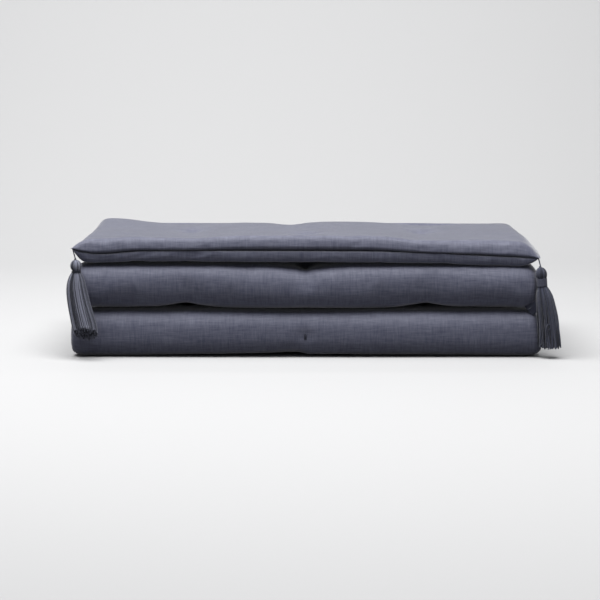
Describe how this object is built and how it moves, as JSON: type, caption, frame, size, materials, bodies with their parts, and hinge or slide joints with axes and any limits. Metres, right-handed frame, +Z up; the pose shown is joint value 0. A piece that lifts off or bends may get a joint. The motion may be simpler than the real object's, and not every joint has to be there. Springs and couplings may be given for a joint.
{
  "type": "floor cushion",
  "caption": "Long tufted floor mat folded in a zigzag into a low stack, with a seam round its edge, thread ties through the wadding and a tassel at each corner",
  "frame": {"origin": "middle of the flat underside of the lowest layer, on the floor", "axes": "+X along the folds, -Y towards the front with the seamed free end of the top layer, +Z up"},
  "size_m": [0.754, 0.5037, 0.179],
  "materials": {
    "cover_cloth": "matte",
    "wadding": "matte",
    "tie_thread": "matte",
    "tassel_yarn": "matte",
    "tassel_cord": "matte"
  },
  "bodies": {
    "panel_1": {"panel_1_lower_cover": "cover_cloth", "panel_1_wadding": "wadding", "panel_1_upper_cover": "cover_cloth", "panel_1_tie_threads": "tie_thread", "back_edge_upper_cover": "cover_cloth", "back_edge_lower_cover": "cover_cloth", "back_edge_wadding": "wadding"},
    "panel_2": {"panel_2_lower_cover": "cover_cloth", "panel_2_wadding": "wadding", "panel_2_upper_cover": "cover_cloth", "panel_2_tie_threads": "tie_thread", "front_fold_low_outer_cover": "cover_cloth", "front_fold_low_inner_cover": "cover_cloth", "front_fold_low_wadding": "wadding", "front_fold_low_tie_thread": "tie_thread"},
    "panel_3": {"panel_3_lower_cover": "cover_cloth", "panel_3_wadding": "wadding", "panel_3_upper_cover": "cover_cloth", "panel_3_tie_threads": "tie_thread", "back_fold_low_outer_cover": "cover_cloth", "back_fold_low_inner_cover": "cover_cloth", "back_fold_low_wadding": "wadding"},
    "panel_4": {"panel_4_lower_cover": "cover_cloth", "panel_4_wadding": "wadding", "panel_4_upper_cover": "cover_cloth", "panel_4_tie_threads": "tie_thread", "front_fold_high_outer_cover": "cover_cloth", "front_fold_high_inner_cover": "cover_cloth", "front_fold_high_wadding": "wadding"},
    "panel_5": {"panel_5_lower_cover": "cover_cloth", "panel_5_wadding": "wadding", "panel_5_upper_cover": "cover_cloth", "panel_5_tie_threads": "tie_thread", "back_fold_high_outer_cover": "cover_cloth", "back_fold_high_inner_cover": "cover_cloth", "back_fold_high_wadding": "wadding", "front_edge_upper_cover": "cover_cloth", "front_edge_lower_cover": "cover_cloth", "front_edge_wadding": "wadding"},
    "tassel_front_left": {"tassel_front_left_cord": "tassel_cord", "tassel_front_left_head": "tassel_yarn", "tassel_front_left_neck_wrap": "tassel_cord", "tassel_front_left_skirt": "tassel_yarn"},
    "tassel_front_right": {"tassel_front_right_cord": "tassel_cord", "tassel_front_right_head": "tassel_yarn", "tassel_front_right_neck_wrap": "tassel_cord", "tassel_front_right_skirt": "tassel_yarn"},
    "tassel_back_left": {"tassel_back_left_cord": "tassel_cord", "tassel_back_left_head": "tassel_yarn", "tassel_back_left_neck_wrap": "tassel_cord", "tassel_back_left_skirt": "tassel_yarn"},
    "tassel_back_right": {"tassel_back_right_cord": "tassel_cord", "tassel_back_right_head": "tassel_yarn", "tassel_back_right_neck_wrap": "tassel_cord", "tassel_back_right_skirt": "tassel_yarn"}
  },
  "joints": [
    {"name": "front_fold_low_bend", "type": "hinge", "parent": "panel_1", "child": "panel_2", "pos_m": [0, -0.133, 0.0355], "axis": [1, 0, 0], "range_deg": [0, 179], "deforming": ["front_fold_low_outer_cover", "front_fold_low_inner_cover", "front_fold_low_wadding", "front_fold_low_tie_thread"]},
    {"name": "back_fold_low_bend", "type": "hinge", "parent": "panel_2", "child": "panel_3", "pos_m": [0, 0.133, 0.0715], "axis": [-1, 0, 0], "range_deg": [0, 179], "deforming": ["back_fold_low_outer_cover", "back_fold_low_inner_cover", "back_fold_low_wadding", "back_edge_upper_cover", "back_edge_lower_cover", "back_edge_wadding"]},
    {"name": "front_fold_high_bend", "type": "hinge", "parent": "panel_3", "child": "panel_4", "pos_m": [0, -0.133, 0.1075], "axis": [1, 0, 0], "range_deg": [0, 179], "deforming": ["front_fold_high_outer_cover", "front_fold_high_inner_cover", "front_fold_high_wadding", "front_edge_upper_cover", "front_edge_lower_cover", "front_edge_wadding"]},
    {"name": "back_fold_high_bend", "type": "hinge", "parent": "panel_4", "child": "panel_5", "pos_m": [0, 0.133, 0.1435], "axis": [-1, 0, 0], "range_deg": [0, 179], "deforming": ["back_fold_high_outer_cover", "back_fold_high_inner_cover", "back_fold_high_wadding"]},
    {"name": "tassel_front_left_swing", "type": "hinge", "parent": "panel_5", "child": "tassel_front_left", "pos_m": [-0.35, -0.1695, 0.1615], "axis": [-1, 0, 0], "range_deg": [0, 90], "deforming": ["tassel_front_left_cord", "tassel_front_left_skirt"]},
    {"name": "tassel_front_right_swing", "type": "hinge", "parent": "panel_5", "child": "tassel_front_right", "pos_m": [0.351, -0.1695, 0.1495], "axis": [0, -1, 0], "range_deg": [0, 90], "deforming": ["tassel_front_right_cord", "tassel_front_right_skirt"]},
    {"name": "tassel_back_left_swing", "type": "hinge", "parent": "panel_1", "child": "tassel_back_left", "pos_m": [-0.358, 0.1695, 0.0085], "axis": [1, 0, 0], "range_deg": [0, 90], "deforming": ["tassel_back_left_cord", "tassel_back_left_skirt"]},
    {"name": "tassel_back_right_swing", "type": "hinge", "parent": "panel_1", "child": "tassel_back_right", "pos_m": [0.358, 0.1695, 0.0085], "axis": [1, 0, 0], "range_deg": [0, 90], "deforming": ["tassel_back_right_cord", "tassel_back_right_skirt"]}
  ]
}
